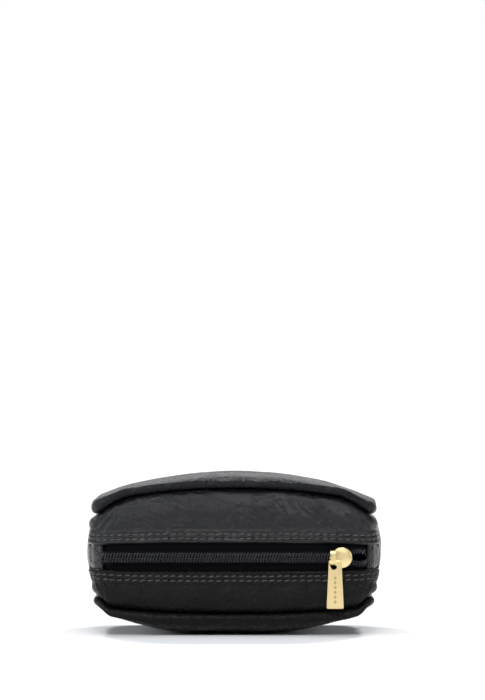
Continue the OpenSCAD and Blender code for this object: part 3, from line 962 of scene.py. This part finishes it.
us, facing, cut = lining_points(
    -58, 58, 120, lambda u: low_seam(u) + 1, lambda u: 0 * u + ZIP_HEIGHT - 6.9, 3.5, 0.5)
fixed_lining("lining_facing_back", facing, "lining_strip_back")
us, side_lining, cut = lining_points(
    STRIP_END + 0.3, 2 * HALF_OUTLINE - STRIP_END - 0.3, 220,
    lambda u: low_seam(u) + 1, lambda u: high_seam(u) - 1, 2.9, 1.4)
fixed_lining("lining_side", side_lining, "lining_gusset")


def panel_lining(name, side, seam, ridge, drop, node):
    u = np.linspace(0, 2 * HALF_OUTLINE, 220, endpoint=False)
    at_seam = seam(u)
    x, y, h = outline(u)
    back = lean(u, at_seam) + 3.4
    rx, ry = x - np.sin(h) * back, y + np.cos(h) * back
    base = at_seam + side * 1.6
    shares = np.concatenate([1 - np.linspace(0, 0.16, 12), np.linspace(0.8, 0.06, 18)])
    rows = []
    for s in shares:
        z = base + (ridge(rx * s) - base) * fullness(s, side > 0) - side * drop
        rows.append(np.stack([rx * s, CENTRE_Y + (ry - CENTRE_Y) * s, z], -1))
    grid = np.array(rows)
    sag = 0.5 + 0.5 * noise(grid * np.array([1, 1, 0.3]), 13, 71)
    grid[..., 2] -= side * 1.2 * sag * (1 - shares[:, None] ** 6)
    hub = len(grid) * len(u)
    faces = grid_faces(len(grid), len(u), wrap_columns=True, flip=side > 0)
    last = (len(grid) - 1) * len(u)
    for j in range(len(u)):
        a, b = last + j, last + (j + 1) % len(u)
        faces.append([a, b, hub] if side > 0 else [b, a, hub])
    points = np.concatenate([grid.reshape(-1, 3), grid[-1].mean(0)[None]])
    piece = make_mesh(name, points, faces, lining_cloth)
    thicken = piece.modifiers.new("thickness", "SOLIDIFY")
    thicken.thickness = 0.35 * MM
    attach(piece, "purse")
    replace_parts(piece, node)


panel_lining("lining_upper", 1, high_seam, upper_ridge, 2.2, "lining_front_panel")
panel_lining("lining_lower", -1, low_seam, lower_ridge, 2.4, "lining_back_panel")


# ---- slider and pull ----

def flat_piece(name, outer, holes, thickness, bevel, place, material, turn=(90, 0, 0)):
    """A plate cut to an outline, with rounded edges. Outline points are in mm."""
    curve = bpy.data.curves.new(name, "CURVE")
    curve.dimensions = "2D"
    curve.fill_mode = "BOTH"
    curve.extrude = (thickness / 2 - bevel) * MM
    curve.bevel_depth = bevel * MM
    curve.bevel_resolution = 3
    curve.offset = -bevel * MM
    for loop in [outer, *holes]:
        spline = curve.splines.new("POLY")
        spline.points.add(len(loop) - 1)
        for point, (px, py) in zip(spline.points, loop):
            point.co = (px * MM, py * MM, 0, 1)
        spline.use_cyclic_u = True
    holder = bpy.data.objects.new(name + "_curve", curve)
    bpy.context.scene.collection.objects.link(holder)
    bpy.context.view_layer.update()
    mesh = bpy.data.meshes.new_from_object(
        holder.evaluated_get(bpy.context.evaluated_depsgraph_get()))
    bpy.data.objects.remove(holder)
    mesh.name = name
    mesh.materials.clear()
    mesh.materials.append(material)
    piece = bpy.data.objects.new(name, mesh)
    bpy.context.scene.collection.objects.link(piece)
    piece.rotation_euler = [math.radians(v) for v in turn]
    piece.location = [v * MM for v in place]
    bpy.context.view_layer.update()
    mesh.transform(piece.matrix_world)
    piece.matrix_world.identity()
    piece.location = (0, 0, 0)
    piece.rotation_euler = (0, 0, 0)
    mesh.shade_smooth()
    mesh.set_sharp_from_angle(angle=math.radians(50))
    return piece


def rounded(points, radius, steps=6):
    """A polygon's points with its corners rounded."""
    points = [np.array(p, float) for p in points]
    out = []
    for i, p in enumerate(points):
        before, after = points[i - 1] - p, points[(i + 1) % len(points)] - p
        r = min(radius, np.linalg.norm(before) * 0.45, np.linalg.norm(after) * 0.45)
        a, b = p + before / np.linalg.norm(before) * r, p + after / np.linalg.norm(after) * r
        for t in np.linspace(0, 1, steps):
            out.append((1 - t) ** 2 * a + 2 * t * (1 - t) * p + t**2 * b)
    return [tuple(v) for v in out]


def lathe(name, profile, centre, axis, material, steps=72):
    """A turned piece. profile is (radius, distance along the axis) pairs, axis is x or y."""
    angle = np.arange(steps) / steps * 2 * math.pi
    rings = []
    for r, d in profile:
        a, b = r * np.cos(angle), r * np.sin(angle)
        if axis == "y":
            rings.append(np.stack([centre[0] + a, centre[1] - d + 0 * a, centre[2] + b], -1))
        else:
            rings.append(np.stack([centre[0] + d + 0 * a, centre[1] + a, centre[2] + b], -1))
    return join_grids(name, [np.array(rings)], material, flip=axis == "y")


CAP_BASE = -1.9          # depth of the cap's underside
AXIS_DEPTH = -3.75
AXIS_HEIGHT = ZIP_HEIGHT - 1.8
CROWN_X = SLIDER_X - 4
TAB_X = 46.5

cap = lathe(
    "slider_cap_disc",
    [(0.01, 0), (4.55, 0), (4.72, 0.08), (4.75, 0.2), (4.72, 0.36), (4.6, 0.47), (4.42, 0.53),
     (4.32, 0.51), (4.22, 0.51), (4.0, 0.57), (3.4, 0.66), (2.6, 0.74), (1.6, 0.79),
     (0.8, 0.81), (0.01, 0.815)],
    (SLIDER_X, FRONT_Y + CAP_BASE, ZIP_HEIGHT), "y", gold, 96)

crown_outline = rounded([
    (CAP_BASE, -3.3), (-4.55, -3.3), (-5.25, -2.5), (-5.25, 2.5), (-4.55, 3.3),
    (CAP_BASE, 3.3), (CAP_BASE, 2.5), (-4.1, 2.5), (-4.5, 2.0), (-4.5, -2.0), (-4.1, -2.5),
    (CAP_BASE, -2.5)], 0.5)
crown = flat_piece("slider_crown", crown_outline, [], 2.6, 0.14,
                   (CROWN_X, FRONT_Y, ZIP_HEIGHT), gold, (90, 0, 90))
rivet = lathe(
    "slider_rivet",
    [(0.01, 0.5), (0.5, 0.5), (0.55, 0.2), (0.5, -0.15), (0.34, -0.36), (0.01, -0.45)],
    (CROWN_X - 1.3, FRONT_Y - 4.4, ZIP_HEIGHT), "x", gold, 32)
for piece in (cap, crown, rivet):
    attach(piece, "slider")
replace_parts(cap, "slider_cap")

# The body: two plates joined by the wedge that parts the rows, all but hidden by the cap.
wing = rounded([
    (SLIDER_X - 4.3, ZIP_HEIGHT - 2.2), (SLIDER_X - 1.5, ZIP_HEIGHT - 3.9),
    (SLIDER_X + 2.4, ZIP_HEIGHT - 3.7), (SLIDER_X + 4.1, ZIP_HEIGHT - 1.6),
    (SLIDER_X + 4.1, ZIP_HEIGHT + 1.6), (SLIDER_X + 2.4, ZIP_HEIGHT + 3.7),
    (SLIDER_X - 1.5, ZIP_HEIGHT + 3.9), (SLIDER_X - 4.3, ZIP_HEIGHT + 2.2)], 1.4)
wedge = rounded([
    (SLIDER_X + 0.8, ZIP_HEIGHT), (SLIDER_X + 3.9, ZIP_HEIGHT - 0.9),
    (SLIDER_X + 3.9, ZIP_HEIGHT + 0.9)], 0.3)
outer_plate = flat_piece(
    "slider_plate_outer", wing, [], 0.9, 0.2, (0, FRONT_Y - 1.35, 0), gold)
inner_plate = flat_piece(
    "slider_plate_inner", wing, [], 0.9, 0.2, (0, FRONT_Y + 2.6, 0), gold)
post = flat_piece("slider_wedge", wedge, [], 3.4, 0.1, (0, FRONT_Y + 0.6, 0), gold)
for piece in (outer_plate, inner_plate, post):
    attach(piece, "slider")
    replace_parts(piece, "slider_body")

pull_outline = rounded([
    (TAB_X - 2.95, AXIS_HEIGHT + 0.2), (TAB_X - 3.95, AXIS_HEIGHT - 21.6),
    (TAB_X + 3.95, AXIS_HEIGHT - 21.6), (TAB_X + 2.95, AXIS_HEIGHT + 0.2)], 0.7)
eye_x = CROWN_X + 0.25
eye = rounded([
    (eye_x - 1.75, AXIS_HEIGHT - 0.6), (eye_x - 1.7, AXIS_HEIGHT - 2.1),
    (eye_x - 0.6, AXIS_HEIGHT - 3.7), (eye_x + 0.8, AXIS_HEIGHT - 3.7),
    (eye_x + 1.75, AXIS_HEIGHT - 2.1), (eye_x + 1.8, AXIS_HEIGHT - 0.6)], 0.5)
pull = flat_piece("pull_plate", pull_outline, [eye], 1.1, 0.18,
                  (0, FRONT_Y + AXIS_DEPTH, 0), gold)
bar = lathe(
    "pull_bar",
    [(0.01, -2.95), (0.5, -2.95), (0.62, -2.85), (0.66, -2.7), (0.66, 2.7), (0.62, 2.85),
     (0.5, 2.95), (0.01, 2.95)],
    (TAB_X, FRONT_Y + AXIS_DEPTH, AXIS_HEIGHT), "x", gold, 32)
# the lozenges take the darker gold, which paints the shade of an embossed recess
studs = []
for i in range(6):
    z = AXIS_HEIGHT - 7.4 - i * 2.2
    diamond = rounded([(TAB_X, z + 0.95), (TAB_X - 0.75, z), (TAB_X, z - 0.95), (TAB_X + 0.75, z)], 0.2)
    studs.append(flat_piece(f"pull_lozenge_{i}", diamond, [], 0.2, 0.06,
                            (0, FRONT_Y + AXIS_DEPTH - 0.6, 0), gold_painted_shade))
for piece in (pull, bar, *studs):
    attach(piece, "pull")
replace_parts(pull, "pull_tab")

# the lock spring keeps its CAD shape, with softened edges
spring = bpy.data.objects["lock_spring"]
spring.data.materials.clear()
spring.data.materials.append(spring_metal)
edge = spring.modifiers.new("soft_edges", "BEVEL")
edge.width = 0.05 * MM
edge.segments = 2
edge.limit_method = "ANGLE"


# ---- floor, light and camera ----

def stage_material():
    m, tree, shader = new_material("floor_paper")
    coord = add(tree, "ShaderNodeTexCoord").outputs["Object"]
    fibre = noise_node(tree, coord, 2.0, 2.0)
    tree.links.new(bump(tree, fibre, 0.01, strength=0.2), shader.inputs["Normal"])
    # above 0.45 m the paper darkens to near black: painted shade of a dark room, for the leather to
    # reflect
    height = add(tree, "ShaderNodeSeparateXYZ", Vector=coord).outputs["Z"]
    shade = add(tree, "ShaderNodeMapRange", Value=height, From_Min=0.45, From_Max=0.62,
                To_Min=0.8, To_Max=0.06).outputs[0]
    tree.links.new(shade, shader.inputs["Base Color"])
    shader.inputs["Roughness"].default_value = 0.85
    shader.inputs["Specular IOR Level"].default_value = 0.1
    return m


def sweep_floor():
    """A paper sweep: flat floor that curves up behind the purse."""
    xs = np.linspace(-1500, 1500, 13)
    angle = np.linspace(0, 90, 16) * math.pi / 180
    profile = [(-430, 0), (-200, 0), (0, 0), (300, 0), (900, 0)]
    profile += [(1200 + 600 * math.sin(a), 600 - 600 * math.cos(a)) for a in angle]
    profile += [(1800, 1400), (1800, 2200)]
    grid = np.array([[(x, y, z) for y, z in profile] for x in xs])
    rows, columns = grid.shape[:2]
    floor = make_mesh("floor", grid.reshape(-1, 3), grid_faces(rows, columns), stage_material())


def area_light(name, place, target, size, power, colour=(1, 1, 1)):
    lamp = bpy.data.lights.new(name, "AREA")
    lamp.shape = "RECTANGLE"
    lamp.size, lamp.size_y = size
    lamp.energy = power
    lamp.color = colour
    holder = bpy.data.objects.new(name, lamp)
    bpy.context.scene.collection.objects.link(holder)
    holder.location = place
    direction = np.array(target, float) - np.array(place, float)
    holder.rotation_euler = Vector(direction).to_track_quat("-Z", "Y").to_euler()
    return holder


def studio_world():
    """Dim all round, brighter overhead, so that the leather stays black with soft shine."""
    world = bpy.data.worlds.new("studio")
    world.use_nodes = True
    tree = world.node_tree
    direction = add(tree, "ShaderNodeTexCoord").outputs["Generated"]
    parts = add(tree, "ShaderNodeSeparateXYZ", Vector=direction)
    sky = ramp(tree, parts.outputs["Z"], [
        (0.0, (0.04, 0.04, 0.045, 1)), (0.3, (0.05, 0.052, 0.06, 1)), (0.9, (0.5, 0.52, 0.56, 1))])
    sideways = add(tree, "ShaderNodeMath", operation="ABSOLUTE", in0=parts.outputs["X"])
    from_sides = ramp(tree, sideways.outputs[0], [(0.7, grey(0)), (1.0, grey(0.35))])
    sky = add(tree, "ShaderNodeMix", data_type="RGBA", blend_type="ADD", in0=1.0,
              in6=sky, in7=from_sides).outputs[2]
    background = tree.nodes["Background"]
    tree.links.new(sky, background.inputs["Color"])
    background.inputs["Strength"].default_value = 1.0
    bpy.context.scene.world = world


sweep_floor()
studio_world()
area_light("light_top", (0, 0.0, 1.1), (0, 0, 0), (0.5, 0.4), 2.5, (0.98, 0.99, 1.0))
area_light("light_rim_left", (-0.52, 0.9, 1.2), (-0.04, 0, 0.06), (0.3, 0.3), 13)
area_light("light_rim_right", (0.56, 0.9, 1.2), (0.04, 0, 0.06), (0.3, 0.3), 15)
area_light("light_left", (-1.0, -0.5, 0.42), (-0.03, 0, 0.05), (0.4, 0.3), 6,
           (0.90, 0.95, 1.0))
area_light("light_right", (1.1, -0.5, 0.42), (0.03, 0, 0.05), (0.3, 0.3), 3.5,
           (0.92, 0.96, 1.0))
area_light("light_front", (-0.1, -1.05, 1.1), (0, 0, 0.04), (0.9, 0.1), 1.6,
           (0.92, 0.96, 1.0))
area_light("light_camera", (0.3, -1.7, 0.28), (0.045, 0, 0.03), (0.5, 0.25), 1.0)
area_light("light_near_left", (-0.064, -0.62, 0.37), (-0.048, -0.04, 0.05), (0.07, 0.05), 1.1)
area_light("light_near_right", (0.06, -0.62, 0.38), (0.045, -0.04, 0.05), (0.06, 0.05), 0.75)
area_light("light_back", (0, 1.0, 1.2), (0, 1.9, 0.3), (2.6, 0.5), 9)

ELEVATION = math.radians(3.0)
DISTANCE = 2.0
LENS = 36 * DISTANCE / 0.322
lens = bpy.data.cameras.new("camera")
lens.lens = LENS
lens.sensor_width = 36
lens.clip_end = 20
camera = bpy.data.objects.new("camera", lens)
bpy.context.scene.collection.objects.link(camera)
aim = np.array([0.004, FRONT_Y * MM, ZIP_HEIGHT * MM + 0.0953])
camera.location = (
    aim[0], FRONT_Y * MM - DISTANCE * math.cos(ELEVATION),
    ZIP_HEIGHT * MM + DISTANCE * math.sin(ELEVATION))
camera.rotation_euler = (Vector(aim) - camera.location).to_track_quat("-Z", "Y").to_euler()
bpy.context.scene.camera = camera
bpy.context.scene.view_settings.view_transform = "Standard"
